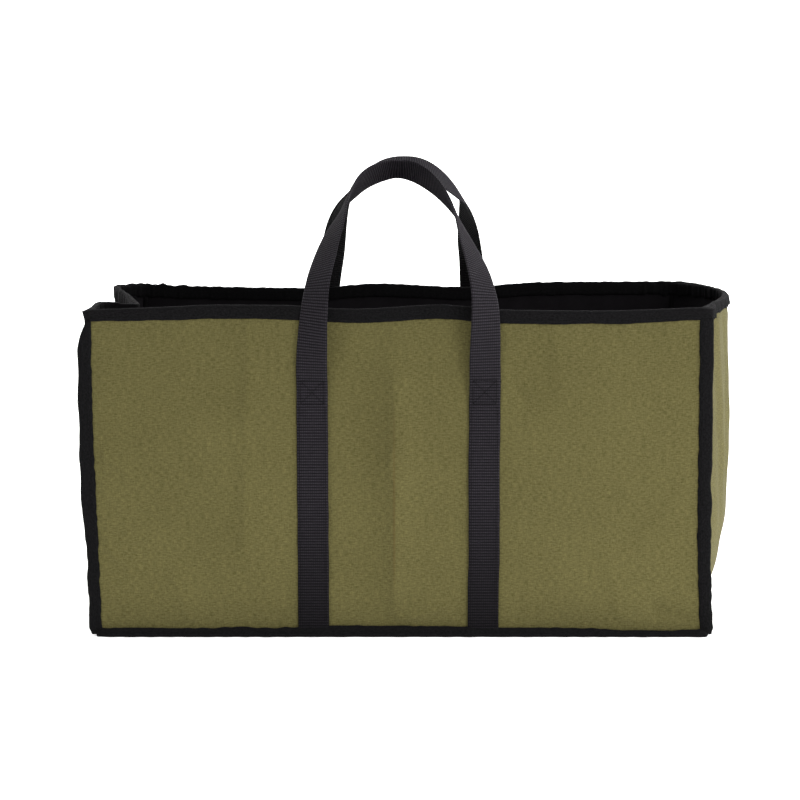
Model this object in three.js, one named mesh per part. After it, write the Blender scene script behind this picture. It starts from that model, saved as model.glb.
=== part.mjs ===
// Canvas log carrier: an open tub of lined canvas with bound seams and two webbing handles.
// Millimetres, +X to the right of the front panel, +Y from front to back, +Z up from the floor.
// The origin is the middle of the base panel's underside.
import * as THREE from "three";

// Driving sizes. The length and depth are from seam to seam, and the height is from floor to rim.
const LENGTH = 580;
const DEPTH = 260;
const HEIGHT = 320;

// Thicknesses of the cloths and the clearance that neighbouring pieces keep.
const CANVAS = 1.5;
const LINING = 1.0;
const TAPE = 0.9;
const WEBBING = 1.8;
const GAP = 0.3;

// Bound seams: how far each flange or tape reaches from its seam or edge.
const RIM_TAPE_DROP = 13;
const CORNER_FLANGE = 12;
const LEFT_FLANGE_AT_RIM = 6;
const RIGHT_FLANGE_AT_RIM = 12;
const LEFT_RIM_EAR = 9;
const RIGHT_RIM_EAR = 13;
const FLANGE_TAPERS_FROM = 0.88;
const BASE_FLANGE = 8;
const BASE_SEAM_RISE = 7;
const BASE_ROLL = 26;
const FLANGE_TIP_HEIGHT = TAPE + 3.5 * GAP;

// Webbing straps.
const STRAP_WIDTH = 30;
const STRAP_SPACING = 165;
const STRAP_SEWN_TO = 230;
const HANDLE_RISE = 129.5;
const HANDLE_PARTING = 28;
const STRAP_ARCH_STEPS = 56;

// Height of the lowest edge of the walls, over the top of the base seam.
const WALL_FOOT = BASE_SEAM_RISE + CANVAS + 4 * GAP;
const STRAP_FOOT = WALL_FOOT + TAPE + 2 * GAP;

// Where the four corner seams lean, as shares of the length, at shares of the height.
const CORNER_LEAN = [
  { up: 0, frontLeft: 0, frontRight: 0.005, backLeft: 0, backRight: 0.005 },
  { up: 0.3, frontLeft: -0.001, frontRight: -0.002, backLeft: 0.004, backRight: 0.01 },
  { up: 0.7, frontLeft: -0.005, frontRight: -0.004, backLeft: 0.008, backRight: 0.018 },
  { up: 1, frontLeft: -0.004, frontRight: -0.006, backLeft: 0.012, backRight: 0.024 },
];

// The rim rises and dips along each side: rise is a share of the height, along runs from left to right.
const FRONT_RIM = [
  { along: 0, rise: -0.006 },
  { along: 0.13, rise: 0.003 },
  { along: 0.2, rise: 0.009 },
  { along: 0.31, rise: 0.008 },
  { along: 0.43, rise: -0.004 },
  { along: 0.575, rise: 0.009 },
  { along: 0.67, rise: -0.006 },
  { along: 0.84, rise: -0.009 },
  { along: 1, rise: 0.001 },
];
const BACK_RIM = [
  { along: 0, rise: 0.004 },
  { along: 0.11, rise: -0.006 },
  { along: 0.32, rise: -0.012 },
  { along: 0.44, rise: 0.003 },
  { along: 0.6, rise: -0.009 },
  { along: 0.75, rise: 0.008 },
  { along: 1, rise: 0.011 },
];

// Plan of each end at the rim, from the front seam to the back seam: out is how far the cloth stands
// outside the straight line between the seams, as a share of the depth, and rise is as above.
// The left end is folded inwards like a bellows, and the right end bulges.
const LEFT_END = [
  { along: 0, out: 0, rise: -0.006 },
  { along: 0.14, out: 0.026, rise: -0.006 },
  { along: 0.29, out: 0.042, rise: -0.006 },
  { along: 0.35, out: 0.03, rise: -0.008 },
  { along: 0.42, out: -0.081, rise: -0.022 },
  { along: 0.5, out: -0.055, rise: -0.018 },
  { along: 0.68, out: 0.012, rise: -0.008 },
  { along: 0.83, out: 0.076, rise: 0.001 },
  { along: 0.9, out: 0.088, rise: 0.004 },
  { along: 0.96, out: 0.038, rise: 0.005 },
  { along: 1, out: 0, rise: 0.004 },
];
const RIGHT_END = [
  { along: 0, out: 0, rise: 0.001 },
  { along: 0.1, out: 0.05, rise: 0.003 },
  { along: 0.22, out: 0.096, rise: 0.006 },
  { along: 0.35, out: 0.132, rise: 0.007 },
  { along: 0.48, out: 0.155, rise: 0.006 },
  { along: 0.6, out: 0.166, rise: 0.005 },
  { along: 0.7, out: 0.158, rise: 0.006 },
  { along: 0.8, out: 0.128, rise: 0.008 },
  { along: 0.9, out: 0.08, rise: 0.01 },
  { along: 1, out: 0, rise: 0.011 },
];

// How much of each end's plan is left at a share of the height.
const END_BY_HEIGHT = [
  { up: 0, left: 0.04, right: 0.4 },
  { up: 0.06, left: 0.1, right: 0.68 },
  { up: 0.14, left: 0.2, right: 0.88 },
  { up: 0.3, left: 0.38, right: 1.05 },
  { up: 0.5, left: 0.6, right: 1.14 },
  { up: 0.7, left: 0.8, right: 1.14 },
  { up: 0.88, left: 0.94, right: 1.06 },
  { up: 1, left: 1, right: 1 },
];

// Soft swells of the long panels: out is a share of the depth and reach a share of the length, both
// where the swell is fullest, at the share up of the height, and it dies away over the share tall.
// Near the base seam a swell grows from nothing, by this much for each share of the height.
const SWELL_GROWTH = 8;
const FRONT_SWELLS = [
  { along: 0.495, up: 0.45, reach: 0.03, tall: 0.5, out: 0.014 },
  { along: 0.2, up: 0.5, reach: 0.16, tall: 0.45, out: 0.02 },
  { along: 0.8, up: 0.42, reach: 0.15, tall: 0.45, out: 0.022 },
  { along: 0.43, up: 0.6, reach: 0.05, tall: 0.6, out: -0.006 },
];
const BACK_SWELLS = [
  { along: 0.5, up: 0.5, reach: 0.2, tall: 0.5, out: 0.02 },
  { along: 0.16, up: 0.45, reach: 0.12, tall: 0.4, out: 0.014 },
  { along: 0.86, up: 0.5, reach: 0.1, tall: 0.45, out: 0.016 },
];

// The free run of each strap from its left seam top, over the arch, to its right seam top.
// rise is a share of the handle's rise over the rim, across a share of half the strap spacing, lean the
// share of the way from the panel to the handle's top, and turn and tilt twist the webbing, in degrees.
const FRONT_HANDLE_RUN = [
  { rise: -0.4, across: -1, lean: -0.042, turn: 8, tilt: 0 },
  { rise: -0.058, across: -0.973, lean: -0.085, turn: 28, tilt: 1 },
  { rise: 0.166, across: -0.934, lean: -0.04, turn: 39, tilt: 1 },
  { rise: 0.383, across: -0.852, lean: 0.16, turn: 51, tilt: 0 },
  { rise: 0.555, across: -0.767, lean: 0.32, turn: 60, tilt: -1 },
  { rise: 0.682, across: -0.687, lean: 0.45, turn: 71, tilt: -1 },
  { rise: 0.782, across: -0.618, lean: 0.56, turn: 87, tilt: 2 },
  { rise: 0.829, across: -0.545, lean: 0.65, turn: 96, tilt: 7 },
  { rise: 0.881, across: -0.491, lean: 0.75, turn: 100, tilt: 15 },
  { rise: 0.948, across: -0.35, lean: 0.88, turn: 102, tilt: 28 },
  { rise: 0.991, across: -0.181, lean: 0.97, turn: 102, tilt: 35 },
  { rise: 1.008, across: -0.007, lean: 1, turn: 102, tilt: 39 },
  { rise: 0.988, across: 0.165, lean: 0.97, turn: 103, tilt: 37 },
  { rise: 0.932, across: 0.333, lean: 0.88, turn: 103, tilt: 29 },
  { rise: 0.84, across: 0.498, lean: 0.75, turn: 103, tilt: 17 },
  { rise: 0.765, across: 0.598, lean: 0.65, turn: 99, tilt: 8 },
  { rise: 0.688, across: 0.678, lean: 0.55, turn: 91, tilt: 3 },
  { rise: 0.565, across: 0.755, lean: 0.42, turn: 77, tilt: 2 },
  { rise: 0.434, across: 0.833, lean: 0.28, turn: 66, tilt: 3 },
  { rise: 0.323, across: 0.91, lean: 0.16, turn: 55, tilt: 2 },
  { rise: 0.129, across: 0.976, lean: -0.04, turn: 39, tilt: 1 },
  { rise: -0.07, across: 1.003, lean: -0.085, turn: 24, tilt: 0 },
  { rise: -0.4, across: 1, lean: -0.042, turn: 8, tilt: 0 },
];
const BACK_HANDLE_RUN = [
  { rise: -0.4, across: -1, lean: -0.042, turn: 8, tilt: 0 },
  { rise: -0.074, across: -0.989, lean: -0.085, turn: 22, tilt: -1 },
  { rise: 0.132, across: -0.924, lean: -0.04, turn: 29, tilt: -1 },
  { rise: 0.335, across: -0.876, lean: 0.16, turn: 39, tilt: -1 },
  { rise: 0.492, across: -0.837, lean: 0.32, turn: 49, tilt: -1 },
  { rise: 0.616, across: -0.784, lean: 0.45, turn: 59, tilt: -1 },
  { rise: 0.721, across: -0.725, lean: 0.56, turn: 70, tilt: 0 },
  { rise: 0.813, across: -0.654, lean: 0.65, turn: 84, tilt: 4 },
  { rise: 0.895, across: -0.55, lean: 0.75, turn: 88, tilt: 11 },
  { rise: 0.957, across: -0.401, lean: 0.86, turn: 90, tilt: 21 },
  { rise: 1.007, across: -0.236, lean: 0.95, turn: 91, tilt: 29 },
  { rise: 1.04, across: 0.044, lean: 1, turn: 93, tilt: 35 },
  { rise: 1.024, across: 0.251, lean: 0.97, turn: 96, tilt: 32 },
  { rise: 0.973, across: 0.438, lean: 0.88, turn: 98, tilt: 23 },
  { rise: 0.889, across: 0.602, lean: 0.76, turn: 101, tilt: 12 },
  { rise: 0.821, across: 0.707, lean: 0.66, turn: 102, tilt: 5 },
  { rise: 0.758, across: 0.818, lean: 0.55, turn: 90, tilt: 3 },
  { rise: 0.669, across: 0.866, lean: 0.43, turn: 73, tilt: 2 },
  { rise: 0.55, across: 0.89, lean: 0.3, turn: 57, tilt: 1 },
  { rise: 0.395, across: 0.921, lean: 0.16, turn: 44, tilt: 0 },
  { rise: 0.184, across: 0.961, lean: -0.04, turn: 32, tilt: 0 },
  { rise: -0.037, across: 0.985, lean: -0.085, turn: 21, tilt: 0 },
  { rise: -0.4, across: 1, lean: -0.042, turn: 8, tilt: 0 },
];

// Rows of the wall meshes, as shares of their height, with one row at the lower edge of the rim tape.
const TAPE_ROW = 1 - RIM_TAPE_DROP / (HEIGHT - WALL_FOOT);
const SEWN_ROW = (STRAP_SEWN_TO - WALL_FOOT) / (HEIGHT - WALL_FOOT);
const ROWS = [0, 0.06, 0.15, 0.3, 0.5, SEWN_ROW, 0.5 * (SEWN_ROW + TAPE_ROW), TAPE_ROW, 1];

// Columns of the long panels, with one at each edge of each strap.
const STRAP_EDGES = [-1, 1].flatMap((side) =>
  [-1, 1].map((edge) => 0.5 + (side * STRAP_SPACING + edge * STRAP_WIDTH) / (2 * LENGTH)),
);
const FRONT_COLUMNS = [0, 0.03, 0.12, 0.2, 0.28, 0.43, 0.465, 0.495, 0.525, 0.57, 0.74, 0.82, 0.91, 0.97, 1]
  .concat(STRAP_EDGES)
  .sort((a, b) => a - b);
const BACK_COLUMNS = [0, 0.04, 0.13, 0.23, 0.44, 0.5, 0.56, 0.76, 0.88, 0.96, 1]
  .concat(STRAP_EDGES)
  .sort((a, b) => a - b);

const MATERIALS = {
  canvas: new THREE.MeshStandardMaterial({ color: 0x6b653e, roughness: 0.92, metalness: 0 }),
  lining: new THREE.MeshStandardMaterial({ color: 0x151316, roughness: 0.85, metalness: 0 }),
  tape: new THREE.MeshStandardMaterial({ color: 0x1e1e20, roughness: 0.8, metalness: 0 }),
  webbing: new THREE.MeshStandardMaterial({ color: 0x373438, roughness: 0.7, metalness: 0 }),
};

// Straight interpolation of one column of a table, whose rows are ordered by the column named by.
function read(table, by, at, column) {
  const found = table.findIndex((row) => row[by] >= at);
  const next = found < 0 ? table.length - 1 : Math.max(1, found);
  const low = table[next - 1];
  const high = table[next];
  const share = Math.min(1, Math.max(0, (at - low[by]) / (high[by] - low[by])));
  return low[column] + share * (high[column] - low[column]);
}

function mix(a, b, share) {
  return a + share * (b - a);
}

// How far a long panel stands out at a share along and up, dying away at its corner seams.
function swell(table, along, up) {
  const held = Math.sin(Math.PI * Math.min(1, Math.max(0, along))) ** 0.5 * Math.min(1, SWELL_GROWTH * up);
  const sum = table.reduce((total, row) => {
    const aside = (along - row.along) / row.reach;
    const above = (up - row.up) / row.tall;
    return total + row.out * DEPTH * Math.exp(-aside * aside - above * above);
  }, 0);
  return held * sum;
}

// The x of a corner seam at a share of the height.
function seamX(corner, up) {
  const side = corner.endsWith("Left") ? -1 : 1;
  return (side * LENGTH) / 2 + read(CORNER_LEAN, "up", up, corner) * LENGTH;
}

// A point of a wall from its place on the plan, at a share of the height of a rim with this rise.
function wallPoint(x, y, rise, up) {
  return new THREE.Vector3(x, y, mix(WALL_FOOT, HEIGHT * (1 + rise), up));
}

// Outer face of each side: the point of the wall at shares along and up, as a vector.
function frontPoint(along, up) {
  const x = mix(seamX("frontLeft", up), seamX("frontRight", up), along);
  const rise = read(FRONT_RIM, "along", along, "rise");
  return wallPoint(x, -DEPTH / 2 - swell(FRONT_SWELLS, along, up), rise, up);
}

function backPoint(along, up) {
  const x = mix(seamX("backLeft", up), seamX("backRight", up), along);
  const rise = read(BACK_RIM, "along", along, "rise");
  return wallPoint(x, DEPTH / 2 + swell(BACK_SWELLS, along, up), rise, up);
}

function endPoint(side, along, up) {
  const left = side === "left";
  const table = left ? LEFT_END : RIGHT_END;
  const seams = left ? ["frontLeft", "backLeft"] : ["frontRight", "backRight"];
  const chord = mix(seamX(seams[0], up), seamX(seams[1], up), along);
  const out = read(table, "along", along, "out") * DEPTH * read(END_BY_HEIGHT, "up", up, side);
  const y = mix(-DEPTH / 2, DEPTH / 2, along);
  return wallPoint(chord + (left ? -out : out), y, read(table, "along", along, "rise"), up);
}

// Moves each point of a plan path sideways, to the right of its direction, keeping its sides parallel.
function offset(path, by, closed) {
  const count = path.length;
  const rightOf = (from, to) => new THREE.Vector2(to.y - from.y, from.x - to.x).normalize();
  return path.map((point, i) => {
    const before = closed || i > 0 ? path[(i + count - 1) % count] : null;
    const after = closed || i < count - 1 ? path[(i + 1) % count] : null;
    const arriving = before ? rightOf(before, point) : rightOf(point, after);
    const leaving = after ? rightOf(point, after) : arriving;
    const sum = arriving.clone().add(leaving);
    sum.multiplyScalar((2 * by) / sum.lengthSq());
    return new THREE.Vector3(point.x + sum.x, point.y + sum.y, point.z);
  });
}

// The faces between rings of equal length. Each four-sided patch is cut along the diagonal that rises
// with the ring, or along the other one where turned says so, so that neighbouring cloths stay parallel.
function loft(rings, turned, closed) {
  const count = rings[0].length;
  const faces = [];
  const spans = closed ? rings.length : rings.length - 1;
  for (let r = 0; r < spans; r++) {
    const low = r * count;
    const high = ((r + 1) % rings.length) * count;
    for (let i = 0; i < count; i++) {
      const j = (i + 1) % count;
      if (turned(r, i)) {
        faces.push(low + i, low + j, high + i, low + j, high + j, high + i);
      } else {
        faces.push(low + i, low + j, high + j, low + i, high + j, high + i);
      }
    }
  }
  return faces;
}

// A wall lofted through rings, each of which runs along its outer face and back along its inner face.
function wall(rings) {
  const count = rings[0].length;
  const faces = loft(rings, (r, i) => i >= count / 2);
  const top = (rings.length - 1) * count;
  for (let i = 0; i < count / 2 - 1; i++) {
    const j = count - 1 - i;
    faces.push(i, j, j - 1, i, j - 1, i + 1);
    faces.push(top + i, top + j - 1, top + j, top + i, top + i + 1, top + j - 1);
  }
  return solid(rings.flat(), faces);
}

// A mesh geometry from points and corner numbers, turned so that its faces point outwards.
function solid(points, faces) {
  const corner = faces.map((i) => points[i]);
  let volume = 0;
  for (let i = 0; i < corner.length; i += 3) {
    volume += corner[i].dot(corner[i + 1].clone().cross(corner[i + 2]));
  }
  const turned = volume < 0 ? corner.reverse() : corner;
  const geometry = new THREE.BufferGeometry();
  const position = new Float32Array(turned.flatMap((p) => [p.x, p.y, p.z]));
  geometry.setAttribute("position", new THREE.BufferAttribute(position, 3));
  geometry.computeVertexNormals();
  return geometry;
}

// How far the corner seam's flange stands out on one side, at a share of the wall's height.
function flange(side, up) {
  const share = Math.min(1, Math.max(0, (up - FLANGE_TAPERS_FROM) / (TAPE_ROW - FLANGE_TAPERS_FROM)));
  return mix(CORNER_FLANGE, side === "left" ? LEFT_FLANGE_AT_RIM : RIGHT_FLANGE_AT_RIM, share);
}

// Plan of each side at a share of the wall's height, in order round the tub seen from above, so that
// the outside is always on the right of the path.
function frontPath(up) {
  return FRONT_COLUMNS.map((along) => frontPoint(along, up));
}

function rightPath(up) {
  return RIGHT_END.map((row) => endPoint("right", row.along, up));
}

function backPath(up) {
  return BACK_COLUMNS.map((along) => backPoint(along, up)).reverse();
}

function leftPath(up) {
  return LEFT_END.map((row) => endPoint("left", row.along, up)).reverse();
}

function tubPath(up) {
  return [frontPath(up), rightPath(up), backPath(up), leftPath(up)].flatMap((side) => side.slice(0, -1));
}

// A long panel: its plan runs straight on beyond both corner seams, as their flanges.
function longPanel(pathAt) {
  const rings = ROWS.map((up) => {
    const path = pathAt(up);
    const tips = [path[0], path[path.length - 1]].map((p) =>
      p.clone().setX(p.x + Math.sign(p.x) * flange(p.x < 0 ? "left" : "right", up)),
    );
    const outer = [tips[0], ...path, tips[1]];
    return [...outer, ...offset(outer, -CANVAS).reverse()];
  });
  return wall(rings);
}

// An end panel: its plan turns outwards at both corner seams and lies against the long panels' flanges.
function endPanel(side) {
  const table = side === "left" ? LEFT_END : RIGHT_END;
  const seams = side === "left" ? ["frontLeft", "backLeft"] : ["frontRight", "backRight"];
  const out = side === "left" ? -1 : 1;
  const start = (2 * CANVAS + GAP) / DEPTH;
  const columns = [start, ...table.slice(1, -1).map((row) => row.along), 1 - start];
  const rings = ROWS.map((up) => {
    const main = columns.map((along) => endPoint(side, along, up));
    const tips = [main[0], main[main.length - 1]].map((p, i) =>
      p.clone().setX(seamX(seams[i], up) + out * flange(side, up)),
    );
    const outer = [tips[0], ...main, tips[1]];
    if (side === "left") outer.reverse();
    return [...outer, ...offset(outer, -CANVAS).reverse()];
  });
  return wall(rings);
}

const FRONT_RIGHT_AT = FRONT_COLUMNS.length - 1;
const BACK_RIGHT_AT = FRONT_RIGHT_AT + RIGHT_END.length - 1;
const BACK_LEFT_AT = BACK_RIGHT_AT + BACK_COLUMNS.length - 1;

// Draws a plan path in towards the middle, by a length that is the same on all four sides.
function inset(path, by) {
  const across = 1 - (2 * by) / LENGTH;
  const deep = 1 - (2 * by) / DEPTH;
  return path.map((p) => new THREE.Vector3(p.x * across, p.y * deep, p.z));
}

// The same plan path, laid level at a height.
function atHeight(path, z) {
  return path.map((p) => p.clone().setZ(z));
}

// A folded tape that closes on itself round the tub, from one plan path for each corner of its section.
// Corners 2 to 3 and 6 to 7 run down the tape's legs, and the others run up them or across.
function hoop(section) {
  const rings = section[0].map((_, i) => section.map((path) => path[i]));
  const faces = loft(rings, (r, i) => i === 2 || i === 6, true);
  return solid(rings.flat(), faces);
}

// The base panel: flat in the middle, rolled up to the base seam, and turned down again as its flange.
function basePanel() {
  const foot = tubPath(0);
  const lower = [
    atHeight(offset(foot, BASE_FLANGE, true), FLANGE_TIP_HEIGHT),
    atHeight(foot, BASE_SEAM_RISE),
    atHeight(inset(foot, BASE_ROLL / 2), BASE_SEAM_RISE / 3),
    atHeight(inset(foot, BASE_ROLL), 0),
  ];
  const upper = lower.map((ring) => ring.map((p) => p.clone().setZ(p.z + CANVAS)));
  return dish([...lower.reverse(), ...upper], lower.length);
}

// A solid lofted through rings, from the middle of its underside, out and back to the middle of its
// top, with a flat fan over its first and its last ring. The way back starts at the ring numbered back.
function dish(rings, back) {
  const count = rings[0].length;
  const faces = loft(rings, (r) => r >= back);
  const points = rings.flat();
  const top = (rings.length - 1) * count;
  const middles = [rings[0], rings[rings.length - 1]].map((ring) =>
    ring.reduce((sum, p) => sum.add(p), new THREE.Vector3()).divideScalar(count),
  );
  points.push(...middles);
  for (let i = 0; i < count; i++) {
    const j = (i + 1) % count;
    faces.push(points.length - 2, j, i, points.length - 1, top + i, top + j);
  }
  return solid(points, faces);
}

// The lining: a tub of its own just inside the canvas, with its floor on the base panel.
function liningTub() {
  const outer = CANVAS + GAP;
  const inner = outer + LINING;
  const foot = tubPath(0);
  const floor = [
    [BASE_ROLL / 2 + outer, BASE_SEAM_RISE / 3 + outer + GAP],
    [BASE_ROLL + outer, outer],
  ];
  const outside = [
    ...floor.map(([by, z]) => atHeight(inset(foot, by), z)).reverse(),
    ...ROWS.map((up) => offset(tubPath(up), -outer, true)),
  ];
  const inside = [
    ...ROWS.map((up, i) => {
      const ring = offset(tubPath(up), -inner, true);
      return i === 0 ? atHeight(ring, WALL_FOOT + LINING) : ring;
    }).reverse(),
    ...floor.map(([by, z]) => atHeight(inset(foot, by), z + LINING)),
  ];
  return dish([...outside, ...inside], outside.length);
}

// The rim tape: folded over the edges of canvas and lining, with an ear over each corner's flange.
function rimBinding() {
  const eared = (up) => {
    const path = tubPath(up);
    path[0].x -= LEFT_RIM_EAR;
    path[BACK_LEFT_AT].x -= LEFT_RIM_EAR;
    path[FRONT_RIGHT_AT].x += RIGHT_RIM_EAR;
    path[BACK_RIGHT_AT].x += RIGHT_RIM_EAR;
    return path;
  };
  const raise = (path, by) => path.map((p) => p.clone().setZ(p.z + by));
  const inner = CANVAS + 2 * GAP + LINING;
  const over = 2 * GAP;
  return hoop([
    offset(eared(TAPE_ROW), GAP + TAPE, true),
    raise(offset(eared(1), GAP + TAPE, true), over + TAPE),
    raise(offset(tubPath(1), -inner - TAPE, true), over + TAPE),
    offset(tubPath(TAPE_ROW), -inner - TAPE, true),
    offset(tubPath(TAPE_ROW), -inner, true),
    raise(offset(tubPath(1), -inner, true), over),
    raise(offset(eared(1), GAP, true), over),
    offset(eared(TAPE_ROW), GAP, true),
  ]);
}

// The base tape: folded round the base panel's flange, and seen from outside as a low slanting band.
function baseBinding() {
  const foot = tubPath(0);
  const tip = BASE_FLANGE + GAP;
  const over = CANVAS + GAP;
  const fall = (BASE_SEAM_RISE - FLANGE_TIP_HEIGHT) / BASE_FLANGE;
  const lower = (out) => BASE_SEAM_RISE - fall * out;
  const upper = (out) => lower(out) + over + GAP;
  const at = (out, z) => atHeight(offset(foot, out, true), z);
  const near = 2 * GAP;
  return hoop([
    at(near, upper(near) + TAPE),
    at(tip + TAPE, upper(tip + TAPE) + TAPE),
    at(tip + TAPE, lower(tip + TAPE) - GAP - TAPE),
    at(near, lower(near) - 2 * GAP - TAPE),
    at(near, lower(near) - 2 * GAP),
    at(tip, lower(tip) - GAP),
    at(tip, upper(tip)),
    at(near, upper(near)),
  ]);
}

// A corner tape: folded round the flange of the corner seam, from the base tape up to the rim tape.
function cornerBinding(corner) {
  const out = corner.endsWith("Left") ? -1 : 1;
  const inY = corner.startsWith("front") ? 1 : -1;
  const face = (inY * -DEPTH) / 2;
  const depth = 2 * CANVAS + GAP;
  const top = TAPE_ROW - (2 * GAP) / HEIGHT;
  const foot = (2 * GAP + TAPE) / HEIGHT;
  const rows = [foot, ...ROWS.filter((up) => up > foot && up < top), top];
  const heel = 2 * GAP;
  const side = corner.endsWith("Left") ? "left" : "right";
  const behind = (depth + GAP + TAPE) / DEPTH;
  const rings = rows.map((up) => {
    const seam = seamX(corner, up);
    const bulge = endPoint(side, inY > 0 ? behind : 1 - behind, up).x - seam;
    const back = Math.max(0, out * bulge) + CANVAS + GAP;
    const tip = flange(side, up) + GAP;
    const z = mix(WALL_FOOT, HEIGHT * (1 + cornerRise(corner)), up);
    const at = (x, y) => new THREE.Vector3(seam + out * x, face + inY * y, z);
    return [
      at(heel, -GAP - TAPE),
      at(tip + TAPE, -GAP - TAPE),
      at(tip + TAPE, depth + GAP + TAPE),
      at(back, depth + GAP + TAPE),
      at(back, depth + GAP),
      at(tip, depth + GAP),
      at(tip, -GAP),
      at(heel, -GAP),
    ];
  });
  return wall(rings);
}

function cornerRise(corner) {
  const table = corner.startsWith("front") ? FRONT_RIM : BACK_RIM;
  return table[corner.endsWith("Left") ? 0 : table.length - 1].rise;
}

// A strap: sewn up its panel, over the handle's arch, and down the panel again.
// Each station is the webbing's middle, its direction across and the direction out of its face.
function strapStations(pointAt, front) {
  const out = front ? -1 : 1;
  const table = front ? FRONT_HANDLE_RUN : BACK_HANDLE_RUN;
  const sewn = (side) => {
    const edges = [0.5 + (side * (STRAP_SPACING + STRAP_WIDTH)) / (2 * LENGTH)];
    edges.push(0.5 + (side * (STRAP_SPACING - STRAP_WIDTH)) / (2 * LENGTH));
    const foot = (STRAP_FOOT - WALL_FOOT) / (HEIGHT - WALL_FOOT);
    const rows = [foot, ...ROWS.filter((up) => up > foot && up <= SEWN_ROW)];
    return rows.map((up) => {
      const [outerEdge, innerEdge] = edges.map((along) => pointAt(along, up));
      const middle = outerEdge.clone().add(innerEdge).multiplyScalar(0.5);
      middle.y += out * (2 * GAP + WEBBING / 2);
      middle.z = mix(WALL_FOOT, HEIGHT, up);
      const across = innerEdge.sub(outerEdge).setZ(0).normalize();
      return { middle, across };
    });
  };
  const from = DEPTH / 2 + 2 * GAP + WEBBING / 2;
  const to = HANDLE_PARTING / 2;
  const left = sewn(-1);
  const right = sewn(1).reverse();
  const run = table.map((row) => {
    const x = (row.across * STRAP_SPACING) / 2;
    const y = out * mix(from, to, row.lean);
    return new THREE.Vector3(x, y, HEIGHT + row.rise * HANDLE_RISE);
  });
  const knots = [left[left.length - 1].middle, ...run, right[0].middle];
  const turns = table.map((row) => [row.turn, row.tilt]);
  const twist = [[0, 0], ...turns, [0, 0]];
  const curve = new THREE.CatmullRomCurve3(knots, false, "centripetal");
  const free = [];
  for (let i = 1; i < STRAP_ARCH_STEPS; i++) {
    const t = i / STRAP_ARCH_STEPS;
    const place = t * (knots.length - 1);
    const low = Math.min(knots.length - 2, Math.floor(place));
    const [turn, tilt] = [0, 1].map((k) =>
      THREE.MathUtils.degToRad(mix(twist[low][k], twist[low + 1][k], place - low)),
    );
    const side = place < (knots.length - 1) / 2 ? 1 : -1;
    const across = new THREE.Vector3(
      side * Math.cos(turn),
      out * Math.sin(turn) * Math.cos(tilt),
      Math.sin(turn) * Math.sin(tilt),
    );
    const middle = curve.getPoint(t);
    const along = curve.getTangent(t);
    across.addScaledVector(along, -across.dot(along)).normalize();
    free.push({ middle, across });
  }
  return [...left, ...free, ...right];
}

function strap(pointAt, front) {
  const stations = strapStations(pointAt, front);
  const rings = stations.map(({ middle, across }, i) => {
    const before = stations[Math.max(0, i - 1)].middle;
    const after = stations[Math.min(stations.length - 1, i + 1)].middle;
    const along = after.clone().sub(before).normalize();
    const face = along.clone().cross(across).normalize();
    const at = (w, n) =>
      middle
        .clone()
        .addScaledVector(across, (w * STRAP_WIDTH) / 2)
        .addScaledVector(face, (n * WEBBING) / 2);
    return [at(-1, -1), at(1, -1), at(1, 1), at(-1, 1)];
  });
  return wall(rings);
}

function piece(name, geometry, material) {
  const mesh = new THREE.Mesh(geometry, MATERIALS[material]);
  mesh.name = name;
  return mesh;
}

const carrier = new THREE.Group();
carrier.add(
  piece("front_panel", longPanel(frontPath), "canvas"),
  piece("back_panel", longPanel(backPath), "canvas"),
  piece("left_end_panel", endPanel("left"), "canvas"),
  piece("right_end_panel", endPanel("right"), "canvas"),
  piece("base_panel", basePanel(), "canvas"),
  piece("lining", liningTub(), "lining"),
  piece("rim_binding", rimBinding(), "tape"),
  piece("base_binding", baseBinding(), "tape"),
  piece("front_left_binding", cornerBinding("frontLeft"), "tape"),
  piece("front_right_binding", cornerBinding("frontRight"), "tape"),
  piece("back_left_binding", cornerBinding("backLeft"), "tape"),
  piece("back_right_binding", cornerBinding("backRight"), "tape"),
  piece("front_handle", strap(frontPoint, true), "webbing"),
  piece("back_handle", strap(backPoint, false), "webbing"),
);

export default carrier;
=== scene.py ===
"""Canvas log carrier: an open tub of lined olive canvas with bound seams and two webbing handles.

Lengths are millimetres until a mesh is made, where they turn into metres. +X runs to the right of the
front panel, +Y from the front to the back, +Z up from the floor, with the origin under the base.
"""

import math

import bpy
import numpy as np
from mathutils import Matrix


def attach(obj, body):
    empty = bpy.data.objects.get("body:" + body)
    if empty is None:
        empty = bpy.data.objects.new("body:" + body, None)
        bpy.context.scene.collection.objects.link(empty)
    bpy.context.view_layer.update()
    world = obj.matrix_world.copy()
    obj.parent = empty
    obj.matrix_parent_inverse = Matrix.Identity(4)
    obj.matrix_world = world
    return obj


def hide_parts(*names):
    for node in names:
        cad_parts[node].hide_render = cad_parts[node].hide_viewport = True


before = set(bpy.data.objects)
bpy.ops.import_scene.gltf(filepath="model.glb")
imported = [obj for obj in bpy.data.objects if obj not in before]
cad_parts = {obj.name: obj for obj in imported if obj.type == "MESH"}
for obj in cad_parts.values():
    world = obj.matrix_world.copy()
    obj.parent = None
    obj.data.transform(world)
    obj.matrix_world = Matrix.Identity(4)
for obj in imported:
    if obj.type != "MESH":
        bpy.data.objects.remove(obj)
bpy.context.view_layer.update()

# Driving sizes and cloth thicknesses.
LENGTH, DEPTH, HEIGHT = 580.0, 260.0, 320.0
CANVAS, LINING, TAPE, WEBBING, GAP = 1.5, 1.0, 0.9, 1.8, 0.3
RIM_TAPE_DROP, CORNER_FLANGE = 13.0, 12.0
BASE_SEAM_RISE, BASE_ROLL = 7.0, 26.0
STRAP_WIDTH, STRAP_SPACING, STRAP_SEWN_TO = 30.0, 165.0, 230.0
HANDLE_RISE, HANDLE_PARTING = 129.5, 28.0
RIB_PITCH = 2.8
WALL_FOOT = BASE_SEAM_RISE + CANVAS + 4 * GAP
STRAP_FOOT = 5.0
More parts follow.
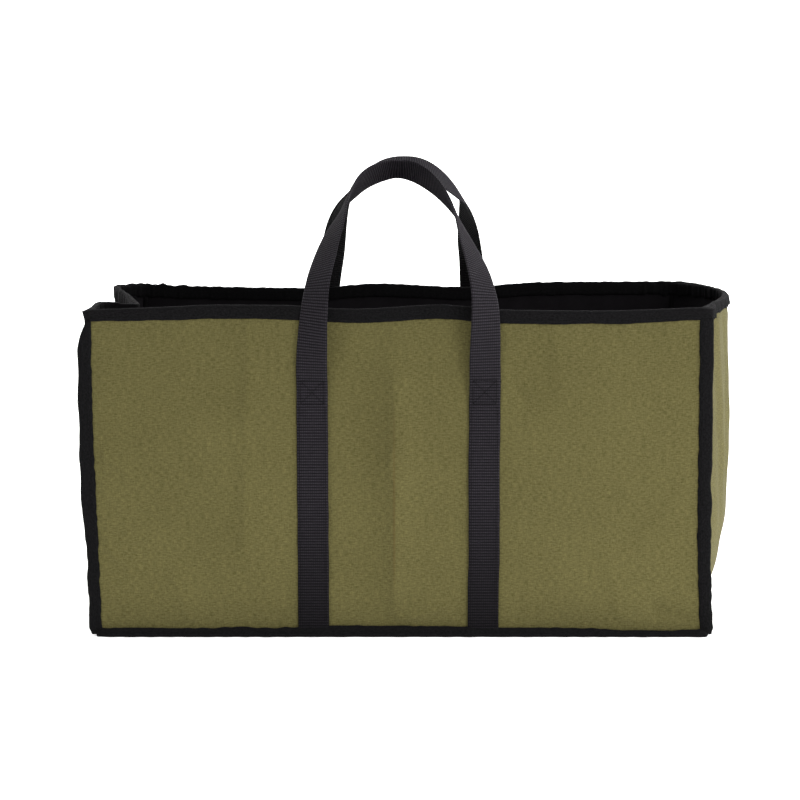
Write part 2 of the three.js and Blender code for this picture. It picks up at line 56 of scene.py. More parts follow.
BASE_REACH = 0.76
EAR_REACH = 36.0
CREASING = 1.5

# Where the canvas starts and ends as shares of the wall, and how far the long panels run into their tapes.
CANVAS_FOOT, CANVAS_TOP, TUCK = -0.018, 0.993, 5.0

# How far in from the seams the rings of a flat floor lie.
FLOOR_RINGS = (120.0, 80.0, 50.0)

# Spacing of the mesh on the front, the back and the ends, and up the ends.
FRONT_MESH, FINE_MESH, BACK_MESH, END_MESH, END_MESH_UP = 2.3, 1.1, 4.0, 2.2, 2.8

# Sides and ends, and what differs between the two ends.
FRONT, BACK = -1, 1
LEFT, RIGHT = -1, 1
FLANGE_AT_RIM = {LEFT: 4.9, RIGHT: 12.0}
FLANGE_AT_FLOOR = {LEFT: 9.5, RIGHT: 10.5}
TAPE_NARROWS_FROM = 0.868
EARS, EARS_BELOW = (8.6, 13.0), (5.2, 12.5)

# Where the corner seams lean: up, then front left, front right, back left, back right, as shares.
CORNER_LEAN = np.array([
    (0.0, 0.002, 0.005, 0.0, 0.005),
    (0.3, -0.001, -0.002, 0.004, 0.010),
    (0.7, -0.005, -0.004, 0.008, 0.018),
    (1.0, -0.004, -0.006, 0.012, 0.024),
]).T

# Rise and dip of the rim: along, rise as a share of the height.
FRONT_RIM = np.array([
    (0.0, -0.006), (0.13, 0.003), (0.2, 0.009), (0.31, 0.008), (0.43, -0.004),
    (0.575, 0.009), (0.67, -0.006), (0.84, -0.009), (1.0, 0.001),
]).T
BACK_RIM = np.array([
    (0.0, 0.004), (0.11, -0.006), (0.32, -0.012), (0.44, 0.003), (0.6, -0.009),
    (0.75, 0.008), (1.0, 0.011),
]).T

# Plan of each end at the rim: along from front to back, out as a share of the depth, rise.
LEFT_END = np.array([
    (0.0, 0.0, -0.006), (0.14, 0.026, -0.006), (0.29, 0.042, -0.006), (0.35, 0.03, -0.008),
    (0.42, -0.081, -0.022), (0.5, -0.055, -0.018), (0.68, 0.012, -0.008), (0.83, 0.076, 0.001),
    (0.9, 0.088, 0.004), (0.96, 0.038, 0.005), (1.0, 0.0, 0.004),
]).T
RIGHT_END = np.array([
    (0.0, 0.0, 0.001), (0.1, 0.05, 0.003), (0.22, 0.096, 0.006), (0.35, 0.132, 0.007),
    (0.48, 0.155, 0.006), (0.6, 0.166, 0.005), (0.7, 0.158, 0.006), (0.8, 0.128, 0.008),
    (0.9, 0.08, 0.01), (1.0, 0.0, 0.011),
]).T

# How much of each end's plan is left at each height: up, left, right.
END_BY_HEIGHT = np.array([
    (0.0, 0.04, 0.4), (0.06, 0.1, 0.68), (0.14, 0.2, 0.955), (0.3, 0.38, 1.18),
    (0.5, 0.6, 1.18), (0.7, 0.8, 1.14), (0.88, 0.94, 1.06), (1.0, 1.0, 1.0),
]).T

# How far the corner tapes stand out past their seams: up, left, right, in millimetres.
TAPE_BY_HEIGHT = np.array([
    (0.0, 11.0, 11.4), (0.2, 10.2, 11.6), (0.3, 11.6, 12.0), (0.45, 13.4, 12.0), (0.6, 12.4, 12.0),
    (0.86, 12.0, 12.0), (1.0, 12.0, 12.0),
]).T

# Soft swells of the long panels: along, up, reach, tall, out.
FRONT_SWELLS = (
    (0.495, 0.45, 0.03, 0.5, 0.014), (0.2, 0.5, 0.16, 0.45, 0.02),
    (0.8, 0.42, 0.15, 0.45, 0.022), (0.43, 0.6, 0.05, 0.6, -0.006),
)
BACK_SWELLS = (
    (0.5, 0.5, 0.2, 0.5, 0.02), (0.16, 0.45, 0.12, 0.4, 0.014), (0.86, 0.5, 0.1, 0.45, 0.016),
)

# Creases left by folding: x and z of both ends, height, reach to the left or below and to the right
# or above, all in millimetres on the panel.
FRONT_CREASES = (
    (-3, 246, -3, 168, 2.3, 9, 40), (-3, 172, -4, 48, 2.1, 6, 34), (-48, 282, 2, 247, 1.3, 9, 15),
    (-143, 306, -145, 226, 1.7, 8, 24), (-147, 158, -150, 96, 1.5, 7, 20),
    (-146, 226, -147, 158, 0.6, 9, 20), (-60, 170, 64, 167, 0.55, 5, 6), (98, 172, 164, 166, 0.5, 5, 6),
    (6, 17, 38, 27, 2.0, 8, 9), (-290, 184, -262, 160, 1.3, 5, 8), (-290, 150, -266, 130, 1.2, 5, 8),
    (-289, 92, -264, 70, 1.2, 5, 8), (250, 27, 288, 11, -1.5, 6, 7), (100, 262, 122, 228, -1.2, 9, 12),
    (232, 92, 282, 156, 0.8, 12, 14), (150, 300, 156, 240, 0.9, 8, 18), (205, 70, 214, 20, 0.9, 7, 16),
    (-215, 60, -205, 14, 0.9, 7, 14),
)
BACK_CREASES = (
    (4, 262, 2, 45, 1.3, 12, 26),
    (-146, 300, -142, 90, 0.8, 18, 18),
    (143, 300, 146, 60, 0.8, 18, 18),
    (-280, 165, -100, 168, 0.4, 8, 8),
    (100, 168, 290, 165, 0.4, 8, 8),
)

# Free run of each strap: rise, across, lean, turn, tilt.
FRONT_HANDLE = np.array([
    (-0.4, -1, -0.042, 8, 0), (-0.041, -0.972, -0.085, 28.9, 0.9), (0.181, -0.931, -0.04, 39.6, 0.2),
    (0.393, -0.848, 0.16, 51.3, -0.6), (0.565, -0.76, 0.32, 63.0, -1.0),
    (0.692, -0.676, 0.45, 81.5, 2.5), (0.791, -0.616, 0.56, 90.0, 8.5),
    (0.846, -0.545, 0.65, 96.5, 12.0), (0.9, -0.473, 0.75, 103.2, 17.5),
    (0.961, -0.321, 0.88, 104.6, 26.6), (1, -0.157, 0.97, 104.7, 35.1), (1.012, 0.006, 1, 104.6, 38.7),
    (0.994, 0.167, 0.97, 104.4, 37.3), (0.939, 0.327, 0.88, 103.9, 29.8),
    (0.85, 0.49, 0.75, 102.6, 18.1), (0.773, 0.59, 0.65, 99.2, 9), (0.698, 0.669, 0.55, 92.3, 5.1),
    (0.58, 0.75, 0.42, 78, 3.7), (0.46, 0.819, 0.28, 65.9, 4.1), (0.349, 0.893, 0.16, 56.2, 3.7),
    (0.154, 0.976, -0.04, 40, 2.6), (-0.05, 1.004, -0.085, 25.1, 1.4), (-0.4, 1, -0.042, 8, 0),
]).T
BACK_HANDLE = np.array([
    (-0.4, -1, -0.042, 8, 0), (-0.097, -0.992, -0.085, 16.9, -1.1), (0.116, -0.938, -0.04, 26.6, -1.4),
    (0.324, -0.876, 0.16, 37.6, -1.6), (0.487, -0.839, 0.32, 48.5, -1.9),
    (0.618, -0.785, 0.45, 59.1, -2.1), (0.728, -0.724, 0.56, 71, -2.5),
    (0.816, -0.634, 0.65, 85.6, 0.8), (0.887, -0.509, 0.75, 92.3, 8.4),
    (0.961, -0.374, 0.86, 94.2, 17.8), (1.021, -0.218, 0.95, 95.3, 25.4), (1.053, 0.058, 1, 97.3, 31.2),
    (1.026, 0.265, 0.97, 99.8, 30), (0.965, 0.457, 0.88, 101.8, 21.7),
    (0.878, 0.625, 0.76, 102.8, 11.1), (0.81, 0.739, 0.66, 99.8, 3.7), (0.738, 0.84, 0.55, 87.1, 1.7),
    (0.649, 0.88, 0.43, 72, 1.2), (0.537, 0.898, 0.3, 57.2, 0.5), (0.392, 0.921, 0.16, 44.5, 0),
    (0.198, 0.961, -0.04, 31.7, -0.3), (-0.009, 0.986, -0.085, 19.5, -0.6), (-0.4, 1, -0.042, 8, 0),
]).T

# How tall the base tape's band stands: x, share.
BASE_BAND = np.array([
    (-300, 0.82), (-190, 0.8), (-105, 0.9), (-50, 1.04), (0, 1.05), (70, 0.9), (150, 0.84), (230, 0.56),
    (300, 0.54),
]).T

# How far the lower edge of the rim tape is drawn up along the front: x, millimetres.
RIM_EDGE = np.array([(-300, 3.2), (-270, 2.6), (-190, 1.2), (0, 0.9), (200, 1.6), (300, 2.4)]).T

SEAM_ROW = {(FRONT, LEFT): 1, (FRONT, RIGHT): 2, (BACK, LEFT): 3, (BACK, RIGHT): 4}
LONG_TABLES = {
    FRONT: (FRONT_RIM, FRONT_SWELLS, FRONT_CREASES),
    BACK: (BACK_RIM, BACK_SWELLS, BACK_CREASES),
}
END_TABLE = {LEFT: LEFT_END, RIGHT: RIGHT_END}
END_COLUMN = {LEFT: 1, RIGHT: 2}

# The four corners, each with the seed of its tape's waves.
CORNERS = (
    (FRONT, LEFT, "front_left", 81),
    (FRONT, RIGHT, "front_right", 85),
    (BACK, LEFT, "back_left", 89),
    (BACK, RIGHT, "back_right", 93),
)
TAPE_ROW = 1 - RIM_TAPE_DROP / (HEIGHT - WALL_FOOT)


# Curves and uneven waves.
def smooth(at, xs, ys):
    """A cubic through the points (xs, ys) that never overshoots them: the tangent at each point is the
    weighted harmonic mean of the two slopes beside it, and zero where they differ in sign."""
    step = np.diff(xs)
    slope = np.diff(ys) / step
    left, right = slope[:-1], slope[1:]
    alike = left * right > 0
    first, second = 2 * step[1:] + step[:-1], step[1:] + 2 * step[:-1]
    safe_left, safe_right = np.where(alike, left, 1), np.where(alike, right, 1)
    inner = np.where(alike, (first + second) / (first / safe_left + second / safe_right), 0)
    tangent = np.concatenate([slope[:1], inner, slope[-1:]])
    at = np.clip(at, xs[0], xs[-1])
    i = np.clip(np.searchsorted(xs, at) - 1, 0, len(xs) - 2)
    h = step[i]
    t = (at - xs[i]) / h
    ends = (1 + 2 * t) * (1 - t) ** 2 * ys[i] + t * t * (3 - 2 * t) * ys[i + 1]
    return ends + t * (1 - t) * h * ((1 - t) * tangent[i] - t * tangent[i + 1])


def ease(at, start, end):
    """0 before start, 1 after end, and 3t2 - 2t3 between them."""
    t = np.clip((at - start) / (end - start), 0, 1)
    return t * t * (3 - 2 * t)


def ripple(at, shortest, longest, seed):
    """An uneven wave along one length: the mean of nine sines with seeded wavelengths and phases."""
    dice = np.random.default_rng(seed)
    waves = np.exp(dice.uniform(math.log(shortest), math.log(longest), 9))
    phases = dice.uniform(0, 2 * math.pi, 9)
    return sum(np.sin(2 * math.pi * at / w + p) for w, p in zip(waves, phases)) / 3


def rumple(a, b, shortest, longest, seed):
    """An uneven field over two lengths: the mean of fourteen plane waves that run in seeded directions,
    with seeded wavelengths and phases."""
    dice = np.random.default_rng(seed)
    waves = np.exp(dice.uniform(math.log(shortest), math.log(longest), 14))
    turns = dice.uniform(0, math.pi, 14)
    phases = dice.uniform(0, 2 * math.pi, 14)
    field = 0
    for wave, turn, phase in zip(waves, turns, phases):
        field = field + np.sin(2 * math.pi * (a * math.cos(turn) + b * math.sin(turn)) / wave + phase)
    return field / 4


def blur(values, reach, closed):
    """Each value becomes the bell-weighted mean of its neighbours along the first axis."""
    taps = np.arange(-3 * reach, 3 * reach + 1)
    bell = np.exp(-0.5 * (taps / reach) ** 2)
    bell /= bell.sum()
    pad = [(3 * reach, 3 * reach)] + [(0, 0)] * (values.ndim - 1)
    if closed:
        wide = np.pad(values, pad, mode="wrap")
    else:
        wide = np.pad(values, pad, mode="reflect", reflect_type="odd")
    return sum(w * wide[k : k + len(values)] for k, w in enumerate(bell))


def unit(vectors):
    """The vectors divided by their lengths."""
    return vectors / np.maximum(np.linalg.norm(vectors, axis=-1, keepdims=True), 1e-9)


def squared(vectors, line):
    """Unit vectors with their part along the line taken out."""
    return unit(vectors - line * np.sum(vectors * line, -1, keepdims=True))


def read(at, run, rows):
    """Each column of the rows read at lengths along their run, straight between neighbours."""
    return np.stack([np.interp(at, run, rows[:, k]) for k in range(3)], -1)


def spread(start, end, step):
    """Even places from start to end, as near to a step apart as fits."""
    return np.linspace(start, end, int(round((end - start) / step)) + 1)


# Walls.
def seam_x(side, end, up):
    """x of a corner seam: half the length, plus its lean as a share of the length."""
    return end * LENGTH / 2 + LENGTH * smooth(up, CORNER_LEAN[0], CORNER_LEAN[SEAM_ROW[side, end]])


def swell(table, along, up):
    """The sum of bell-shaped swells, held to nothing at the corner seams and at the base."""
    total = 0
    for at, height, reach, tall, out in table:
        total = total + out * DEPTH * np.exp(-(((along - at) / reach) ** 2) - ((up - height) / tall) ** 2)
    return total * np.sin(np.pi * np.clip(along, 0, 1)) ** 0.5 * np.clip(8 * up, 0, 1)


def creases(table, x, z):
    """Each crease is a ridge along a line: its height falls away as exp(-distance / reach) on each side,
    with a rounded top, and as a bell beyond its two ends."""
    total = 0
    for x0, z0, x1, z1, height, before, after in table:
        length = math.hypot(x1 - x0, z1 - z0)
        ax, az = (x1 - x0) / length, (z1 - z0) / length
        if az < 0 or (az == 0 and ax < 0):
            ax, az, x0, z0, x1, z1 = -ax, -az, x1, z1, x0, z0
        run = (x - x0) * ax + (z - z0) * az
        side = (x - x0) * az - (z - z0) * ax
        past = np.maximum(0, np.maximum(-run, run - length)) / (0.12 * length + 6)
        reach = np.where(side < 0, before, after)
        fall = np.exp(-(np.sqrt(side * side + 2.0) - math.sqrt(2.0)) / reach)
        total = total + height * fall * np.exp(-past * past)
    return total


def puckers(x, z, left, right, seed):
    """Small gathers that run in from the bound seams and die away within a few centimetres."""
    into_left, into_right = x - left, right - x
    into_rim, into_base = HEIGHT - RIM_TAPE_DROP - z, z - WALL_FOOT
    side = ripple(z, 14, 45, seed) * np.exp(-into_left / 16)
    side = side + ripple(z, 14, 45, seed + 1) * np.exp(-into_right / 16)
    level = ripple(x, 12, 40, seed + 2) * np.exp(-np.maximum(into_rim, 0) / 12)
    low = ripple(x, 14, 50, seed + 3) * np.exp(-into_base / 14)
    return 0.75 * side + 0.3 * level + 0.6 * low


def long_wall(side, along, up):
    """Outer face of the front or back panel at shares along and up, as points with three columns."""
    rim, swells, folds = LONG_TABLES[side]
    left, right = seam_x(side, LEFT, up), seam_x(side, RIGHT, up)
    x = left + (right - left) * along
    z = WALL_FOOT + up * (HEIGHT * (1 + smooth(along, rim[0], rim[1])) - WALL_FOOT)
    strap = np.abs(np.abs(x) - STRAP_SPACING / 2)
    free = ease(strap, STRAP_WIDTH / 2 - 2, STRAP_WIDTH / 2 + 16)
    inside = ease(along, 0, 0.02) * ease(1 - along, 0, 0.02)
    fine = CREASING * creases(folds, x, z) + puckers(x, z, left, right, 10 + side)
    fine = fine + 0.35 * rumple(x, z, 45, 150, 20 + side)
    fine = fine * free * inside * ease(1 - up, 0, 0.06) * ease(up, 0, 0.03)
    out = swell(swells, along, up) + np.clip(fine, -4.5, 4.5)
    return np.stack([x, side * (DEPTH / 2 + out), z], -1)


def end_wall(end, along, up, ear=0.0):
    """Outer face of an end panel at shares along, from front to back, and up. The ear draws the corners
    out past their seams, as the rim tape is."""
    table = END_TABLE[end]
    front, back = seam_x(FRONT, end, up), seam_x(BACK, end, up)
    by_height = smooth(up, END_BY_HEIGHT[0], END_BY_HEIGHT[END_COLUMN[end]])
    out = DEPTH * smooth(along, table[0], table[1]) * by_height
    z = WALL_FOOT + up * (HEIGHT * (1 + smooth(along, table[0], table[2])) - WALL_FOOT)
    y = DEPTH * (along - 0.5)
    corner = np.maximum(0, 1 - np.minimum(along, 1 - along) * DEPTH / EAR_REACH)
    upright = 0.8 * ripple(y + 0.15 * z, 22, 60, 33 + end) * ease(up, 0.1, 0.5)
    fine = 0.5 * rumple(y, z, 30, 110, 31 + end) + upright
    fine = fine * ease(along, 0, 0.12) * ease(1 - along, 0, 0.12) * ease(1 - up, 0, 0.08) * ease(up, 0, 0.06)
    seam = front + (back - front) * along
    return np.stack([seam + end * (out + fine + ear * corner), y, z], -1)


def tub(up, ears=(0.0, 0.0), step=1.6):
    """The closed plan of the four walls at a share of the height, counter-clockwise seen from above,
    with its corners drawn out past their seams by the left and the right ear."""
    count = int(LENGTH / step), int(DEPTH / step)
    across, deep = np.arange(count[0]) / count[0], np.arange(count[1]) / count[1]
    low, high = -ears[0] / LENGTH, 1 + ears[1] / LENGTH
    stretch = lambda share: low + share * (high - low)
    front = long_wall(FRONT, stretch(across), np.full(count[0], up))
    right = end_wall(RIGHT, deep, np.full(count[1], up), ears[1])
    back = long_wall(BACK, stretch(1 - across), np.full(count[0], up))
    left = end_wall(LEFT, 1 - deep, np.full(count[1], up), ears[0])
    return np.concatenate([front, right, back, left])


def outward(path):
    """Level unit vectors to the right of a closed path: its direction turned a quarter clockwise."""
    along = np.roll(path, -1, 0) - np.roll(path, 1, 0)
    normal = np.stack([along[:, 1], -along[:, 0], np.zeros(len(path))], -1)
    return unit(blur(unit(normal), 2, True))


def lengths(path, closed):
    """Distance run along a path at each of its points, and at its start again if it is closed."""
    whole = np.concatenate([path, path[:1]]) if closed else path
    return np.concatenate([[0], np.cumsum(np.linalg.norm(np.diff(whole, axis=0), axis=1))])


# Meshes.
def make(name, points, faces, uv, material, nodes):
    """A mesh object from points in millimetres, faces and their UVs, put on the root body in place of the
    named solids."""
    mesh = bpy.data.meshes.new(name)
    mesh.from_pydata((points / 1000).tolist(), [], faces)
    layer = mesh.uv_layers.new(name="cloth")
    layer.data.foreach_set("uv", np.ascontiguousarray(uv, dtype=np.float32).ravel())
    mesh.polygons.foreach_set("use_smooth", np.full(len(mesh.polygons), True))
    mesh.materials.append(material)
    mesh.validate()
    mesh.update()
    obj = bpy.data.objects.new(name, mesh)
    bpy.context.scene.collection.objects.link(obj)
    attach(obj, "root")
    if nodes:
        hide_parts(*nodes)
    return obj


def tube(rings, run, closed):
    """Faces and UVs of rings joined in order. Each ring closes on itself. The rings close on each other
    too where closed says so; otherwise both ends are zipped shut, point k of a ring to point -1 - k.
    u is the length run along the rings, and v the length run round the middle ring."""
    stations, corners = rings.shape[:2]
    spans = stations if closed else stations - 1
    row = np.arange(spans)[:, None] * corners
    above = (np.arange(spans)[:, None] + 1) % stations * corners
    k = np.arange(corners)[None, :]
    after = (k + 1) % corners
    quads = np.stack([row + k, row + after, above + after, above + k], -1).reshape(-1, 4)
    round_it = lengths(rings[stations // 2], True)
    u0, u1 = run[:-1][:spans, None] + 0 * k, run[1:][:spans, None] + 0 * k
    v0, v1 = round_it[k] + 0 * row, round_it[k + 1] + 0 * row
    places = (u0, v0), (u0, v1), (u1, v1), (u1, v0)
    uv = np.stack([np.stack(place, -1) for place in places], 2).reshape(-1, 4, 2)
    if not closed:
        i = np.arange(corners // 2 - 1)
        first = np.stack([i, corners - 1 - i, corners - 2 - i, i + 1], -1)
        last = (stations - 1) * corners + first[:, ::-1]
        quads = np.concatenate([quads, first, last])
        uv = np.concatenate([uv, np.zeros((2 * len(i), 4, 2))])
    return quads, uv / 1000


def turned_out(points, faces):
    """Whether the volume that the faces close comes out negative."""
    p = points[faces]
    volume = np.einsum("ij,ij->i", p[:, 0], np.cross(p[:, 1], p[:, 2])).sum()
    volume += np.einsum("ij,ij->i", p[:, 0], np.cross(p[:, 2], p[:, 3])).sum()
    return volume < 0


def tube_piece(name, rings, run, closed, material, nodes, other=None, strip=()):
    """A piece made of joined rings, with its faces turned outwards. The strips of faces whose numbers
    round the section are in strip wear the other material."""
    quads, uv = tube(rings, run, closed)
    points = rings.reshape(-1, 3)
    if turned_out(points, quads):
        quads, uv = quads[:, ::-1], uv[:, ::-1]
    piece = make(name, points, quads.tolist(), uv, material, nodes)
    if other:
        piece.data.materials.append(other)
        wears = np.isin(np.arange(len(piece.data.polygons)) % rings.shape[1], strip)
        piece.data.polygons.foreach_set("material_index", wears.astype(np.int32))
    return piece


def normals(grid):
    """Unit normals of a grid of points: the cross product of its two gradients."""
    return unit(np.cross(np.gradient(grid, axis=1), np.gradient(grid, axis=0)))


# Materials.
class Cloth:
    """A node-based cloth: every helper adds one node and returns its output."""

    def __init__(self, name, rough, sheen, specular):
        self.material = bpy.data.materials.new(name)
        self.material.use_nodes = True
        self.tree = self.material.node_tree
        self.shader = self.tree.nodes["Principled BSDF"]
        self.shader.inputs["Roughness"].default_value = rough
        self.shader.inputs["Sheen Weight"].default_value = sheen
        self.shader.inputs["Sheen Roughness"].default_value = 0.5
        self.shader.inputs["Specular IOR Level"].default_value = specular
        self.uv = self.add("ShaderNodeUVMap", {}, "UV", uv_map="cloth")

    def join(self, value, socket):
        """Links an output to the socket, or sets the socket to a plain value."""
        if hasattr(value, "is_output"):
            self.tree.links.new(value, socket)
        else:
            socket.default_value = value

    def add(self, kind, inputs, output, **settings):
        """The named output of a new node with these settings and inputs."""
        node = self.tree.nodes.new(kind)
        for key, value in settings.items():
            setattr(node, key, value)
        for key, value in inputs.items():
            self.join(value, node.inputs[key])
        return node.outputs[output]

    def noise(self, scale, detail):
        """Uneven values from 0 to 1, with scale giving the lumps in a metre along u and v."""
        placed = self.add("ShaderNodeMapping", {"Vector": self.uv, "Scale": (*scale, 1.0)}, "Vector")
        inputs = {"Vector": placed, "Scale": 1.0, "Detail": detail, "Roughness": 0.6}
        return self.add("ShaderNodeTexNoise", inputs, "Fac")

    def threads(self, pitch, across, wander):
        """Rounded threads with this pitch in metres, running along u, or along v where across is set."""
        inputs = {"Vector": self.uv, "Scale": math.pi / 10 / pitch, "Distortion": wander}
        inputs |= {"Detail": 1.0, "Detail Scale": 0.6}
        way = "X" if across else "Y"
        return self.add("ShaderNodeTexWave", inputs, "Fac", wave_type="BANDS", bands_direction=way)

    def weave(self, pitch, wander):
        """Threads both ways, one set times the other."""
        return self.times(self.threads(pitch, True, wander), self.threads(pitch, False, wander))

    def along(self, axis, low, high, at_low, at_high, off=None):
        """A share that goes from at_low to at_high between two places along an axis, in metres, or
        between two distances from the place off."""
        place = self.add("ShaderNodeTexCoord", {}, "Object")
        value = self.add("ShaderNodeSeparateXYZ", {"Vector": place}, axis)
        if off is not None:
            value = self.math("ABSOLUTE", self.math("SUBTRACT", value, off))
        return self.span(value, low, high, at_low, at_high)

    def math(self, operation, *values):
        """One sum of up to three values or outputs."""
        return self.add("ShaderNodeMath", dict(enumerate(values)), "Value", operation=operation)

    def times(self, first, second):
        """The product of two values or outputs."""
        return self.math("MULTIPLY", first, second)

    def plus(self, value, share, rest):
        """The value times a share, plus the rest."""
        return self.math("MULTIPLY_ADD", value, share, rest)

    def span(self, value, low, high, to_low, to_high):
        """The value moved from low..high to to_low..to_high, held at both ends."""
        ends = {"From Min": low, "From Max": high, "To Min": to_low, "To Max": to_high}
        return self.add("ShaderNodeMapRange", {"Value": value} | ends, "Result")

    def mix(self, share, first, second):
        """A colour from the first to the second by a share. Each is three numbers or an output."""
        first, second = ((*c, 1) if isinstance(c, tuple) else c for c in (first, second))
        return self.add("ShaderNodeMix", {0: share, 6: first, 7: second}, 2, data_type="RGBA")

    def dimmed(self, colour, share):
        """The colour with its brightness multiplied by a share."""
        return self.add("ShaderNodeHueSaturation", {"Color": colour, "Value": share}, "Color")

    def paint(self, colour):
        """Gives the surface its colour."""
        self.join(colour, self.shader.inputs["Base Color"])

    def relief(self, height, depth, strength):
        """Raises the surface's shading by a height, times a depth in metres."""
        inputs = {"Height": height, "Distance": depth, "Strength": strength}
        self.join(self.add("ShaderNodeBump", inputs, "Normal"), self.shader.inputs["Normal"])


# The dark brown line down the front's ridge: its place across, in metres, and its colour.
CREASE_X, CREASE_BROWN = -0.0042, (0.088, 0.058, 0.0185)


def canvas_cloth():
    """Olive canvas: slubs along the weft and finer ones along the warp, small flecks, broad uneven
    fading, a dark brown line down the front's ridge, and painted shade by height: darker over the
    base seam, lighter low on the walls and darker towards the rim."""
    cloth = Cloth("olive_canvas", 0.92, 0.05, 0.08)
    weft = cloth.noise((760, 210), detail=4)
    warp = cloth.noise((260, 780), detail=4)
    fade = cloth.noise((12, 12), detail=3)
    fleck = cloth.noise((850, 850), detail=2)
    mixed = cloth.plus(weft, 0.5, cloth.times(warp, 0.28))
    mixed = cloth.plus(fade, 0.09, mixed)
    mixed = cloth.plus(fleck, 0.13, mixed)
    share = cloth.span(mixed, 0.36, 0.64, 0.0, 1.0)
    colour = cloth.mix(share, (0.053, 0.0462, 0.0152), (0.136, 0.1215, 0.0452))
    crease = cloth.along("X", 0.0003, 0.0019, 0.45, 0.0, off=CREASE_X)
    crease = cloth.times(crease, cloth.along("Y", -0.1, -0.05, 1.0, 0.0))
    crease = cloth.times(crease, cloth.along("Z", 0.04, 0.08, 0.0, 1.0))
    crease = cloth.times(crease, cloth.along("Z", 0.15, 0.24, 1.0, 0.0))
    colour = cloth.mix(crease, colour, CREASE_BROWN)
    # Painted shade and light by height: darker at the very bottom, lighter low on the walls, darker towards
    # the rim.
    low = cloth.along("Z", 0.005, 0.04, 0.87, 1.0)
    high = cloth.along("Z", 0.05, 0.31, 1.09, 0.94)
    colour = cloth.dimmed(colour, cloth.times(low, high))
    cloth.paint(colour)
    weave = cloth.weave(0.0009, 1.2)
    height = cloth.plus(weave, 0.4, cloth.times(mixed, 1.6))
    cloth.relief(height, 0.0005, 0.8)
    return cloth.material


def lining_cloth():
    """Black lining with a slight purple cast and a fine plain weave."""
    cloth = Cloth("black_lining", 0.75, 0.02, 0.06)
    share = cloth.noise((60, 60), detail=4)
    colour = cloth.mix(share, (0.0018, 0.0014, 0.0019), (0.0052, 0.0043, 0.0055))
    cloth.paint(colour)
    weave = cloth.weave(0.0006, 0.4)
    cloth.relief(cloth.plus(share, 0.8, weave), 0.0002, 0.7)
    return cloth.material


def tape_cloth(name, dark, light, sheen, specular):
    """Black bias tape: fine threads both ways and a dusty bloom, with painted shade that dulls it near the
    floor.
    """
    cloth = Cloth(name, 0.82, sheen, specular)
    dust = cloth.noise((420, 600), detail=4)
    share = cloth.span(dust, 0.36, 0.66, 0.0, 1.0)
    # Painted shade: darker towards the floor.
    colour = cloth.dimmed(cloth.mix(share, dark, light), cloth.along("Z", 0.0, 0.06, 0.95, 1.0))
    cloth.paint(colour)
    weave = cloth.weave(0.0007, 0.8)
    cloth.relief(cloth.plus(dust, 1.0, weave), 0.0003, 0.8)
    return cloth.material


def webbing_cloth(name, dark, light):
    """Webbing: rows of small floats on each rib painted lighter as highlights, and painted shade that
    darkens it towards the floor.
    """
    cloth = Cloth(name, 0.65, 0.01, 0.05)
    ribs = cloth.threads(RIB_PITCH / 1000, True, 0.0)
    floats = cloth.threads(0.0021, False, 0.3)
    dust = cloth.noise((330, 330), detail=3)
    # The floats on the ribs are painted lighter as highlights.
    knots = cloth.times(ribs, cloth.plus(floats, 0.6, 0.4))
    share = cloth.plus(knots, 0.85, cloth.plus(dust, 0.3, -0.05))
    # Painted shade: darker towards the floor.
    colour = cloth.dimmed(cloth.mix(share, dark, light), cloth.along("Z", 0.005, 0.14, 0.4, 1.0))
    cloth.paint(colour)
    cloth.relief(cloth.plus(dust, 0.3, knots), 0.0006, 0.8)
    return cloth.material


def thread_cloth():
    """Black sewing thread with a fine uneven mottle."""
    cloth = Cloth("black_thread", 0.6, 0.0, 0.05)
    share = cloth.noise((3000, 3000), detail=2)
    colour = cloth.mix(share, (0.0020, 0.0018, 0.0022), (0.0080, 0.0073, 0.0084))
    cloth.paint(colour)
    cloth.relief(share, 0.0001, 0.5)
    return cloth.material


canvas, lining, thread = canvas_cloth(), lining_cloth(), thread_cloth()
webbing = webbing_cloth("charcoal_webbing", (0.0020, 0.0017, 0.0023), (0.0345, 0.0305, 0.0370))
# A darker copy of the webbing: painted shade for the back strap's faces towards the bag.
webbing_shade = webbing_cloth("charcoal_webbing_painted_shade", (0.0004, 0.0003, 0.0005), (0.0040, 0.0035, 0.0042))
tape = tape_cloth("black_tape", (0.0026, 0.0026, 0.0028), (0.0088, 0.0084, 0.0090), 0.012, 0.04)
# A darker copy of the tape: painted shade for the rim tape's inner leg, also worn by the lining seams.
shaded_tape = tape_cloth("black_tape_painted_shade", (0.0012, 0.0012, 0.0014), (0.0034, 0.0032, 0.0036), 0.0, 0.05)


# The canvas walls.
def wall_piece(name, surface, which, columns, rows, tuck, node):
    """A canvas wall: its outer grid, and the same grid moved in by the canvas's thickness. At both sides
    it runs on straight into the corner tape by the length tuck."""
    along, up = np.meshgrid(columns, rows)
    outer = surface(which, along, up)
    if tuck:
        for edge in (0, -1):
            tip = outer[:, edge].copy()
            tip[:, 0] += np.sign(tip[:, 0]) * tuck
            outer = np.concatenate([tip[:, None], outer] if edge == 0 else [outer, tip[:, None]], 1)
    facing = normals(outer)
    middle = outer.mean((0, 1))
    if np.sum(facing[len(rows) // 2, outer.shape[1] // 2] * middle * (1, 1, 0)) < 0:
        facing = -facing
    inner = outer - CANVAS * facing
    rings = np.concatenate([outer, inner[:, ::-1]], 1)
    run = lengths(outer[:, outer.shape[1] // 2], False)
    return tube_piece(name, rings, run, False, canvas, [node])


